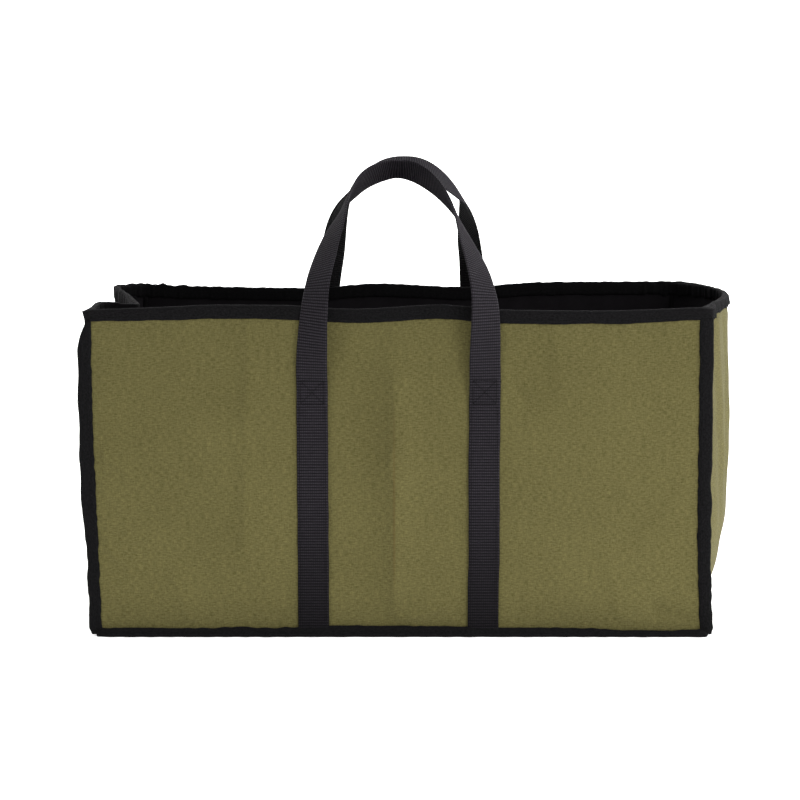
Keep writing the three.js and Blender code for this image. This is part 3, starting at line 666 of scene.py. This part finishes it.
FRONT_COLUMNS = np.concatenate([
    spread(0, 0.47, FRONT_MESH / LENGTH),
    spread(0.472, 0.52, FINE_MESH / LENGTH),
    spread(0.523, 1, FRONT_MESH / LENGTH),
])
BACK_COLUMNS = spread(0, 1, BACK_MESH / LENGTH)
END_INSET = (CANVAS + GAP) / DEPTH
END_COLUMNS = spread(END_INSET, 1 - END_INSET, END_MESH / DEPTH)
FRONT_ROWS, BACK_ROWS, END_ROWS = (
    spread(CANVAS_FOOT, CANVAS_TOP, mesh / HEIGHT) for mesh in (FRONT_MESH, BACK_MESH, END_MESH_UP)
)
FRONT_GRID, BACK_GRID = (FRONT_COLUMNS, FRONT_ROWS), (BACK_COLUMNS, BACK_ROWS)
END_GRID = (END_COLUMNS, END_ROWS)
front_panel = wall_piece("front_panel_canvas", long_wall, FRONT, *FRONT_GRID, TUCK, "front_panel")
back_panel = wall_piece("back_panel_canvas", long_wall, BACK, *BACK_GRID, TUCK, "back_panel")
left_end = wall_piece("left_end_canvas", end_wall, LEFT, *END_GRID, 0, "left_end_panel")
right_end = wall_piece("right_end_canvas", end_wall, RIGHT, *END_GRID, 0, "right_end_panel")


# Pieces that run round the tub.
def base_ring(inset, z):
    """The plan of the walls' foot, drawn in by the same length on all sides, at the height z. Both may
    be one number or one for each point."""
    foot = blur(tub(0.0), 1, True)
    by = np.broadcast_to(inset, (len(foot),))
    level = np.stack([1 - 2 * by / LENGTH, 1 - 2 * by / DEPTH, 0 * by], -1)
    return foot * level + (0, 0, 1) * np.broadcast_to(z, (len(foot),))[:, None]


def rim_tape():
    """The tape over the rim: a folded section whose legs hang outside and inside, with puckers that
    grow towards the lower edge, and a jagged fold along the top."""
    top, low = blur(tub(1.0, EARS), 2, True), blur(tub(TAPE_ROW, EARS_BELOW), 2, True)
    inner_top, inner_low = blur(tub(1.0), 3, True), blur(tub(TAPE_ROW), 3, True)
    facing, inner_facing = outward(top), outward(inner_top)
    run = lengths(top, True)[:-1]
    sides = ease(top[:, 1], -DEPTH / 2 - 2, -DEPTH / 2 + 12)
    far_left = ease(top[:, 1], 60, 110) * ease(-top[:, 0], 190, 250)
    across = ease(np.abs(top[:, 0]), 270, 292)
    rough = 0.2 + 0.3 * sides + 1.9 * across * sides + 0.8 * far_left
    pucker = ripple(run, 6, 18, 52) * rough
    jag = 0.5 * ripple(run, 8, 30, 53) * (0.2 + 0.35 * sides + 0.9 * far_left)
    edge = 0.35 * ripple(run, 40, 120, 54) + 0.45 * ripple(run, 8, 26, 55) * rough
    edge = edge + smooth(top[:, 0], RIM_EDGE[0], RIM_EDGE[1]) * (1 - sides)
    right_front = ease(top[:, 0], LENGTH / 2 + 5, LENGTH / 2 + 18) * (1 - ease(top[:, 1], 40, 100))
    edge = edge + 3.2 * right_front
    depth = CANVAS + 2 * GAP + LINING
    up = np.array([0, 0, 1.0])

    def leg(share, out, inside):
        """A path at a share of the way up the leg, at a distance out from the wall."""
        a, b = (inner_low, inner_top) if inside else (low, top)
        base = a + (b - a) * share
        swing = 0.6 * np.maximum(0, pucker) * (1 - 0.5 * share)
        move = out + (-swing if inside else swing)
        drop = (edge * (1 - share) + jag * share)[:, None] * up
        return base + (inner_facing if inside else facing) * move[:, None] + drop

    thickness = ((0, 0.6), (0.04, 1.0), (0.25, 1.05), (0.5, 1.1), (0.75, 1.15), (0.94, 1.1))
    profile = [leg(share, GAP + TAPE * thick, False) for share, thick in thickness]
    crown = 2 * GAP + TAPE
    centre = (leg(1.0, 0, False) + leg(1.0, -depth, True)) / 2
    half = depth / 2 + GAP + TAPE
    for turn in (20, 50, 80, 110, 140, 165):
        c, s = math.cos(math.radians(turn)), math.sin(math.radians(turn))
        profile.append(centre + facing * half * c + up * (crown * s - 0.2))
    profile += [leg(share, -depth - TAPE * thick, True) for share, thick in reversed(thickness)]
    profile += [leg(share, -depth, True) for share in (0.0, 0.5, 0.97)]
    profile += [leg(share, GAP, False) for share in (0.97, 0.5, 0.0)]
    rings = np.stack(profile, 1)
    # The inner leg wears the darker copy of the tape as painted shade.
    inner_leg = range(10, 18)
    piece = tube_piece(
        "rim_tape", rings, lengths(top, True), True, tape, ["rim_binding"], shaded_tape, inner_leg
    )
    return piece, profile[2], facing


def base_tape():
    """The tape over the base seam: from its upper edge at the wall, down a soft slope to the fold, and
    back under the flange. The whole section's height is multiplied by the band's share."""
    foot = tub(0.0)
    run = lengths(foot, True)[:-1]
    front = foot[:, 1] < -DEPTH / 2 + 20
    band = np.where(front, smooth(foot[:, 0], BASE_BAND[0], BASE_BAND[1]), 0.95)
    band = blur(band, 12, True)
    lift = 0.45 * ripple(run, 30, 120, 61) + 0.25 * ripple(run, 9, 24, 62)
    push = 0.35 * ripple(run, 14, 60, 63)
    # The section: out from the wall, up from the floor, and how much of the lift it takes.
    section = (
        (0.4, 8.8, 1), (0.9, 9.8, 1), (2.6, 9.5, 0.9), (5.0, 8.0, 0.5), (7.2, 6.0, 0.3), (8.9, 4.1, 0),
        (9.8, 2.4, 0), (9.4, 1.0, 0), (8.2, 0.3, 0), (6.0, 0.9, 0), (3.5, 2.6, 0), (0.6, 4.0, 0),
        (0.6, 5.0, 0), (4.0, 3.2, 0), (7.6, 1.5, 0), (8.7, 2.4, 0), (7.4, 4.4, 0), (4.4, 6.8, 0.4),
        (2.2, 8.3, 0.8),
    )
    corner = ease(np.abs(foot[:, 0]), LENGTH / 2 - 14, LENGTH / 2 - 1)
    corner = corner * ease(np.abs(foot[:, 1]), DEPTH / 2 - 14, DEPTH / 2 - 1)
    reach = BASE_REACH * (1 - 0.3 * corner * (foot[:, 0] < 0))
    profile = [
        base_ring(-out * reach - push * min(1, out / 6), z * band + loose * lift)
        for out, z, loose in section
    ]
    rings, slope = np.stack(profile, 1), unit(outward(foot) + (0, 0, 1.2))
    run = lengths(profile[0], True)
    piece = tube_piece("base_tape", rings, run, True, tape, ["base_binding"])
    return piece, profile[2], slope


def dished(name, profile, material, nodes):
    """A dish: closed paths from the middle of its underside out, up and back to the middle of its top,
    each counter-clockwise seen from above. Both middles are shut by a fan of faces round one point."""
    rings = np.stack(profile, 0)
    corners = rings.shape[1]
    quads, uv = tube(rings, lengths(rings[:, 0], False), False)
    sides = (len(profile) - 1) * corners
    quads, uv = quads[:sides], uv[:sides]
    points = np.concatenate([rings.reshape(-1, 3), rings[0].mean(0)[None], rings[-1].mean(0)[None]])
    if turned_out(points, quads):
        quads, uv = quads[:, ::-1], uv[:, ::-1]
    k = np.arange(corners)
    after = (k + 1) % corners
    last = (len(profile) - 1) * corners
    foot, head = len(points) - 2, len(points) - 1
    below = np.stack([after, k, np.full(corners, foot)], -1)
    above = np.stack([last + k, last + after, np.full(corners, head)], -1)
    faces = quads.tolist() + below.tolist() + above.tolist()
    flat = np.concatenate([below, above]).ravel()
    fan = points[flat][:, :2] / 1000
    return make(name, points, faces, np.concatenate([uv.reshape(-1, 2), fan]), material, nodes)


def base_canvas():
    """The base panel: flat in its middle, rolled up to the seam, and turned down again as the flange."""
    flat = [(inset, 0.0) for inset in (*FLOOR_RINGS, BASE_ROLL)]
    rolled = [(19.0, 0.2), (13.0, 0.6), (6.0, 1.3), (0.0, 2.0), (-1.5, 0.9)]
    under = [base_ring(inset, z) for inset, z in flat + rolled]
    above = [ring + (0, 0, CANVAS) for ring in reversed(under)]
    return dished("base_canvas", under + above, canvas, ["base_panel"])


def lining_cloth_tub():
    """The lining: walls just inside the canvas with soft folds of their own, and a floor on the base."""
    outer = CANVAS + GAP
    rows = np.concatenate([[0.0, 0.02, 0.05], np.linspace(0.09, 0.9, 40), np.linspace(0.92, 0.99, 6)])
    floor = [(inset, outer) for inset in (*FLOOR_RINGS, BASE_ROLL + outer)]
    floor.append((BASE_ROLL / 2 + outer, BASE_SEAM_RISE / 3 + outer + GAP))
    below = [base_ring(inset, z)[::2] for inset, z in floor]
    outside, inside = [], []
    for up in rows:
        path = blur(tub(up, step=3.2), 1, True)
        facing = outward(path)
        run = lengths(path, True)[:-1]
        held = ease(up, 0.0, 0.12) * ease(1 - up, 0.05, 0.2)
        folds = 0.9 * ripple(run + 0.2 * path[:, 2], 25, 90, 71) + 0.5 * rumple(run, path[:, 2], 20, 70, 72)
        folds = (folds + 0.9) * held
        outside.append(path - facing * outer)
        inner_path = path - facing * (outer + LINING + np.maximum(0, folds))[:, None]
        inside.append(inner_path if up > 0 else inner_path * (1, 1, 0) + (0, 0, WALL_FOOT + LINING))
    above = [ring + (0, 0, LINING) for ring in reversed(below)]
    return dished("lining_tub", below + outside + inside[::-1] + above, lining, ["lining"])


def lining_seam(name, side, end):
    """The stitched-up seam in a corner of the lining: a narrow rounded ridge from the floor to the tape."""
    up = np.linspace(0.02, TAPE_ROW, 60)
    inner = CANVAS + GAP + LINING + 0.6
    wall = long_wall(side, np.full(60, 0.5 + end * (0.5 - 3.0 / LENGTH)), up)
    wander = 0.8 * ripple(wall[:, 2], 30, 90, 120 + 2 * side + end)
    rings = []
    for angle in np.arange(8) * math.pi / 4:
        x, y = 2.6 * math.cos(angle) + wander, side * (1.3 * math.sin(angle) - inner)
        rings.append(wall + np.stack([x, y + 0 * x, 0 * x], -1))
    rings = np.stack(rings, 1)
    # The seam wears the darker copy of the tape that serves as painted shade.
    return tube_piece(name, rings, lengths(rings[:, 0], False), False, shaded_tape, [])


for side, end, name, _ in CORNERS:
    lining_seam(name + "_lining_seam", side, end)
rim, rim_row, rim_facing = rim_tape()
base_band, base_row, base_facing = base_tape()
base = base_canvas()
inner_tub = lining_cloth_tub()


# The tapes down the corners.
def corner_tape(name, side, end, node, seed):
    """The tape down a corner seam: folded round the seam's flange, with a wavy fold outside and a wavy
    edge on the panel."""
    up = np.linspace(-0.026, TAPE_ROW + 0.012, 180)
    seam = seam_x(side, end, up)
    narrowed = np.clip((up - TAPE_NARROWS_FROM) / (TAPE_ROW - TAPE_NARROWS_FROM), 0, 1) ** 2
    flange = smooth(up, TAPE_BY_HEIGHT[0], TAPE_BY_HEIGHT[END_COLUMN[end]])
    flange = flange + (FLANGE_AT_RIM[end] - CORNER_FLANGE) * narrowed
    flange = flange + (FLANGE_AT_FLOOR[end] - CORNER_FLANGE) * ease(-up, 0.004, 0.026)
    rise = LONG_TABLES[side][0][1, 0 if end == LEFT else -1]
    z = WALL_FOOT + up * (HEIGHT * (1 + rise) - WALL_FOOT)
    low = 0.3 + (0.25 if end == LEFT else 0.8) * ease(150 - z, 0, 100)
    quick = 0.6 * ripple(z, 16, 40, seed + 4) + 0.14 * ripple(z, 6, 14, seed + 1)
    wave = 0.6 * ripple(z, 34, 100, seed) + low * quick
    edge = 0.45 * ripple(z, 20, 80, seed + 2) + 0.2 * ripple(z, 8, 20, seed + 5)
    pucker = 0.4 * np.abs(ripple(z, 7, 20, seed + 3)) * low
    tip = flange + 0.6 + wave * 0.8
    depth = 2 * CANVAS + GAP
    beside = (depth + GAP + TAPE) / DEPTH
    along = np.full(len(up), beside if side == FRONT else 1 - beside)
    bulge = end * (end_wall(end, along, up)[:, 0] - seam)
    back = np.minimum(np.maximum(0, bulge) + CANVAS + GAP, tip - 1.5)
    heel = 0.3 + edge
    section = []

    def at(x, y):
        """Adds a line of points at a length out past the seam and a depth in from the panel's face."""
        section.append(np.stack([seam + end * x, side * DEPTH / 2 - side * y + 0 * z, z], -1))

    for share, off in ((0.0, 0.55), (0.06, 1.0), (0.3, 1.15), (0.55, 1.25), (0.8, 1.2)):
        at(heel + (tip - heel) * share, -GAP - TAPE * off - pucker * (share < 0.9))
    middle = depth / 2
    half = middle + GAP + TAPE
    for turn in (-75, -45, -15, 15, 45, 75):
        a = math.radians(turn)
        at(tip - 0.6 + (TAPE + 1.1) * math.cos(a), middle + half * math.sin(a))
    for share in (0.7, 0.35, 0.0):
        at(back + (tip - back) * share, depth + GAP + TAPE)
    for share in (0.0, 0.35, 0.7):
        at(back + (tip - back) * share, depth + GAP)
    at(tip, depth * 0.75)
    at(tip, depth * 0.25)
    for share in (0.8, 0.55, 0.3):
        at(heel + (tip - heel) * share, -GAP)
    rings = np.stack(section, 1)
    piece = tube_piece(name, rings, lengths(rings[:, 0], False), False, tape, [node])
    return piece, rings[5:-5, 2], np.tile((0.0, side, 0.0), (len(rings) - 10, 1))


corners = [
    corner_tape(name + "_tape", side, end, name + "_binding", seed) for side, end, name, seed in CORNERS
]


# The straps: the spacing of their points in millimetres, and over how many points their line and their
# twist are eased.
STRAP_STEP, LINE_EASED, TWIST_EASED = 0.5, 22, 20


def strap_run(side):
    """Middle line and across direction of a strap: up its left leg, over the arch and down its right
    leg, at even steps. The line is a cubic through the sewn legs and the rows of the handle's table,
    and the twist is read from the same table."""
    legs = {}
    for end in (LEFT, RIGHT):
        z = np.array([STRAP_FOOT, 40.0, 90.0, 140.0, 185.0, STRAP_SEWN_TO])
        up = (z - WALL_FOOT) / (HEIGHT - WALL_FOOT)
        x = end * STRAP_SPACING / 2 + 0 * z
        y = side * (DEPTH / 2 + swell(LONG_TABLES[side][1], 0.5 + x / LENGTH, up) + 2 * GAP + WEBBING / 2)
        legs[end] = np.stack([x, y, z], -1)
    rise, across, lean, turn, tilt = FRONT_HANDLE if side == FRONT else BACK_HANDLE
    start, finish = DEPTH / 2 + 2 * GAP + WEBBING / 2, HANDLE_PARTING / 2
    y = side * (start + lean * (finish - start))
    free = np.stack([across * STRAP_SPACING / 2, y, HEIGHT + rise * HANDLE_RISE], -1)
    knots = np.concatenate([legs[LEFT], free, legs[RIGHT][::-1]])
    flat = np.zeros(len(legs[LEFT]))
    turn, tilt = (np.radians(np.concatenate([flat, angle, flat])) for angle in (turn, tilt))
    chord = lengths(knots, False)
    at = np.arange(0, chord[-1], STRAP_STEP)
    line = np.stack([smooth(at, chord, knots[:, k]) for k in range(3)], -1)
    turn, tilt = smooth(at, chord, turn), smooth(at, chord, tilt)
    line = blur(line, LINE_EASED, False)
    turn, tilt = blur(turn, TWIST_EASED, False), blur(tilt, TWIST_EASED, False)
    hand = 1 - 2 * ease(at, at[-1] / 2 - 12, at[-1] / 2 + 12)
    lift = np.sin(turn)
    wide = np.stack([hand * np.cos(turn), side * lift * np.cos(tilt), lift * np.sin(tilt)], -1)
    along = unit(np.gradient(line, axis=0))
    return line, squared(wide, along), along, lengths(line, False)


def strap_point(strap, at, across, off):
    """Points on a strap at a length along it, a length across it and a height off its face."""
    line, wide, along, run = strap
    side, ahead = unit(read(at, run, wide)), unit(read(at, run, along))
    face = np.cross(side, ahead)
    across, off = np.asarray(across)[..., None], np.asarray(off)[..., None]
    return read(at, run, line) + side * across + face * off, side, ahead


# Faces round a strap's section that lie towards the bag and wear the darker copy of the webbing as painted
# shade: on the back strap only.
SHADED_FACES = {FRONT: (), BACK: range(10, 19)}


def strap_piece(name, side, node):
    """Webbing: a flat band with rounded edges and a rounded rib across it at every pitch. Returns the
    strap's run."""
    strap = strap_run(side)
    run = strap[3]
    at = np.arange(0, run[-1], RIB_PITCH / 4)
    rib = -0.24 * np.cos(2 * np.pi * at / RIB_PITCH)
    half, thick = STRAP_WIDTH / 2, WEBBING / 2
    places = np.array([-1, -0.93, -0.8, -0.5, -0.2, 0.2, 0.5, 0.8, 0.93, 1])
    body = np.array([0.35, 0.95, 1.0, 1.0, 1.0, 1.0, 1.0, 1.0, 0.95, 0.35])
    selvedge = np.array([0, 0.4, 1, 1, 1, 1, 1, 1, 0.4, 0])
    wobble = 0.25 * ripple(at, 40, 160, 101 + side)
    section = []
    for face in (-1, 1):
        order = range(10) if face < 0 else reversed(range(10))
        for k in order:
            off = face * (thick * body[k] + rib * selvedge[k])
            section.append(strap_point(strap, at, places[k] * half + wobble, off)[0])
    rings = np.stack(section, 1)
    tube_piece(name, rings, at, False, webbing, [node], webbing_shade, SHADED_FACES[side])
    return strap


front_line = strap_piece("front_strap", FRONT, "front_handle")
back_line = strap_piece("back_strap", BACK, "back_handle")


# The stitches.
def stitches(name, rows, pitch, long, wide, high):
    """Threads laid along rows at an even pitch. Each row is a path and the direction out of the cloth at
    each of its points. A stitch is three five-sided rings along the row, closed at both ends, with the
    end rings at a third of the middle ring's size."""
    spots = []
    for path, out in rows:
        run = lengths(path, False)
        at = np.arange(pitch / 2, run[-1], pitch)
        ahead = unit(read(at + 0.6, run, path) - read(at - 0.6, run, path))
        spots.append((read(at, run, path), ahead, squared(unit(read(at, run, out)), ahead)))
    centre, ahead, up = (np.concatenate([spot[k] for spot in spots]) for k in range(3))
    beside = np.cross(up, ahead)
    around = np.arange(5) * 2 * math.pi / 5 + 0.3
    points = []
    for place, size in ((-0.5, 0.33), (0.0, 1.0), (0.5, 0.33)):
        for angle in around:
            off = beside * wide * math.cos(angle) + up * high * math.sin(angle)
            points.append(centre + ahead * place * long + size * off)
    points = np.stack(points, 1)
    count = len(centre)
    k = np.arange(5)
    after = (k + 1) % 5
    sides = np.stack([k, after, after + 5, k + 5], -1)
    sides = np.concatenate([sides, sides + 5])
    first = np.arange(count)[:, None, None] * 15
    quads = (first + sides[None]).reshape(-1, 4).tolist()
    caps = np.stack([k[::-1], k + 10])[None] + first
    faces = quads + caps.reshape(-1, 5).tolist()
    corners = sum(len(face) for face in faces)
    uv = np.stack([np.arange(corners) % 7, np.arange(corners) % 5], -1) * 0.0004
    return make(name, points.reshape(-1, 3), faces, uv, thread, [])


def along_strap(strap, side, places):
    """A row of stitches on a strap's outer face through places given as (length along, length across)."""
    at = np.concatenate([np.linspace(a[0], b[0], 40) for a, b in zip(places, places[1:])])
    across = np.concatenate([np.linspace(a[1], b[1], 40) for a, b in zip(places, places[1:])])
    path, wide, ahead = strap_point(strap, at, across, -side * (WEBBING / 2 + 0.1) + 0 * at)
    return path, -side * np.cross(wide, ahead)


edge_rows, box_rows = [], []
SEWN_EDGE, BOX_EDGE, BOX_FOOT, BOX_TOP = 12.2, 11.3, 229.0, 252.0
for strap, side in ((front_line, FRONT), (back_line, BACK)):
    whole = strap[3][-1]
    for leg in (LEFT, RIGHT):
        up_to = lambda z: z - STRAP_FOOT if leg == LEFT else whole - (z - STRAP_FOOT)
        for edge in (-SEWN_EDGE, SEWN_EDGE):
            row = [(up_to(STRAP_FOOT + 1), edge), (up_to(BOX_FOOT - 3), edge)]
            edge_rows.append(along_strap(strap, side, row))
        foot, top = up_to(BOX_FOOT), up_to(BOX_TOP)
        for places in (
            [(foot, -BOX_EDGE), (foot, BOX_EDGE), (top, BOX_EDGE), (top, -BOX_EDGE), (foot, -BOX_EDGE)],
            [(foot, -BOX_EDGE), (top, BOX_EDGE)],
            [(foot, BOX_EDGE), (top, -BOX_EDGE)],
        ):
            box_rows.append(along_strap(strap, side, places))
stitches("strap_edge_stitches", edge_rows, pitch=3.2, long=2.5, wide=0.42, high=0.4)
stitches("strap_box_stitches", box_rows, pitch=2.5, long=2.45, wide=0.45, high=0.4)
tape_rows = [
    (np.concatenate([row, row[:1]]), np.concatenate([out, out[:1]]))
    for row, out in ((rim_row, rim_facing), (base_row, base_facing))
]
tape_rows += [(row, out) for _, row, out in corners]
stitches("tape_stitches", tape_rows, pitch=3.3, long=2.5, wide=0.4, high=0.35)


# The studio.
def studio_sheet(name, paint, corners, shade, rough, glow):
    """A flat white sheet through four corners, in metres, that glows a little."""
    mesh = bpy.data.meshes.new(name)
    mesh.from_pydata(corners, [], [(0, 1, 2, 3)])
    obj = bpy.data.objects.new(name, mesh)
    bpy.context.scene.collection.objects.link(obj)
    material = bpy.data.materials.new(paint)
    material.use_nodes = True
    shader = material.node_tree.nodes["Principled BSDF"]
    shader.inputs["Base Color"].default_value = (shade, shade, shade, 1)
    shader.inputs["Roughness"].default_value = rough
    shader.inputs["Emission Color"].default_value = (1, 1, 1, 1)
    shader.inputs["Emission Strength"].default_value = glow
    mesh.materials.append(material)
    return obj


floor_corners = [(-6, -6, 0), (6, -6, 0), (6, 6, 0), (-6, 6, 0)]
floor = studio_sheet("floor", "pale_floor", floor_corners, shade=0.92, rough=0.9, glow=0.6)
backdrop_corners = [(-8, 2.6, -0.2), (8, 2.6, -0.2), (8, 2.6, 5), (-8, 2.6, 5)]
backdrop = studio_sheet("backdrop", "lit_paper", backdrop_corners, shade=0.9, rough=0.5, glow=1.1)


def lamp(name, place, aim, size, power):
    """A soft rectangular lamp at a place, turned towards another."""
    data = bpy.data.lights.new(name, "AREA")
    data.shape = "RECTANGLE"
    data.size, data.size_y = size
    data.energy = power
    obj = bpy.data.objects.new(name, data)
    obj.location = place
    obj.rotation_euler = (
        math.atan2(math.hypot(aim[0] - place[0], aim[1] - place[1]), place[2] - aim[2]),
        0,
        math.atan2(aim[1] - place[1], aim[0] - place[0]) - math.pi / 2,
    )
    bpy.context.scene.collection.objects.link(obj)


lamp("right_softbox", place=(2.5, -0.5, 1.0), aim=(0.2, 0.0, 0.15), size=(1.1, 1.1), power=44)
lamp("key_softbox", place=(1.7, -1.8, 1.6), aim=(0.0, -0.1, 0.2), size=(1.0, 1.0), power=36)
lamp("left_softbox", place=(-1.7, -1.6, 1.2), aim=(0.0, -0.1, 0.15), size=(1.0, 1.0), power=9)
lamp("top_softbox", place=(0.3, 0.2, 2.5), aim=(0.0, 0.0, 0.2), size=(1.6, 1.6), power=30)

world = bpy.data.worlds.new("white_studio")
world.use_nodes = True
sky = world.node_tree.nodes["Background"]
sky.inputs["Color"].default_value = (1, 1, 1, 1)
sky.inputs["Strength"].default_value = 0.45
bpy.context.scene.world = world
bpy.context.scene.view_settings.view_transform = "Standard"

camera_data = bpy.data.cameras.new("camera")
camera_data.lens = 76.066
camera_data.sensor_width = 36.0
camera_data.shift_x = -0.0085
camera_data.shift_y = -0.0493
camera = bpy.data.objects.new("camera", camera_data)
camera.location = (0.008, -1.73, 0.4812)
camera.rotation_euler = (math.radians(82.5), 0, 0)
bpy.context.scene.collection.objects.link(camera)
bpy.context.scene.camera = camera
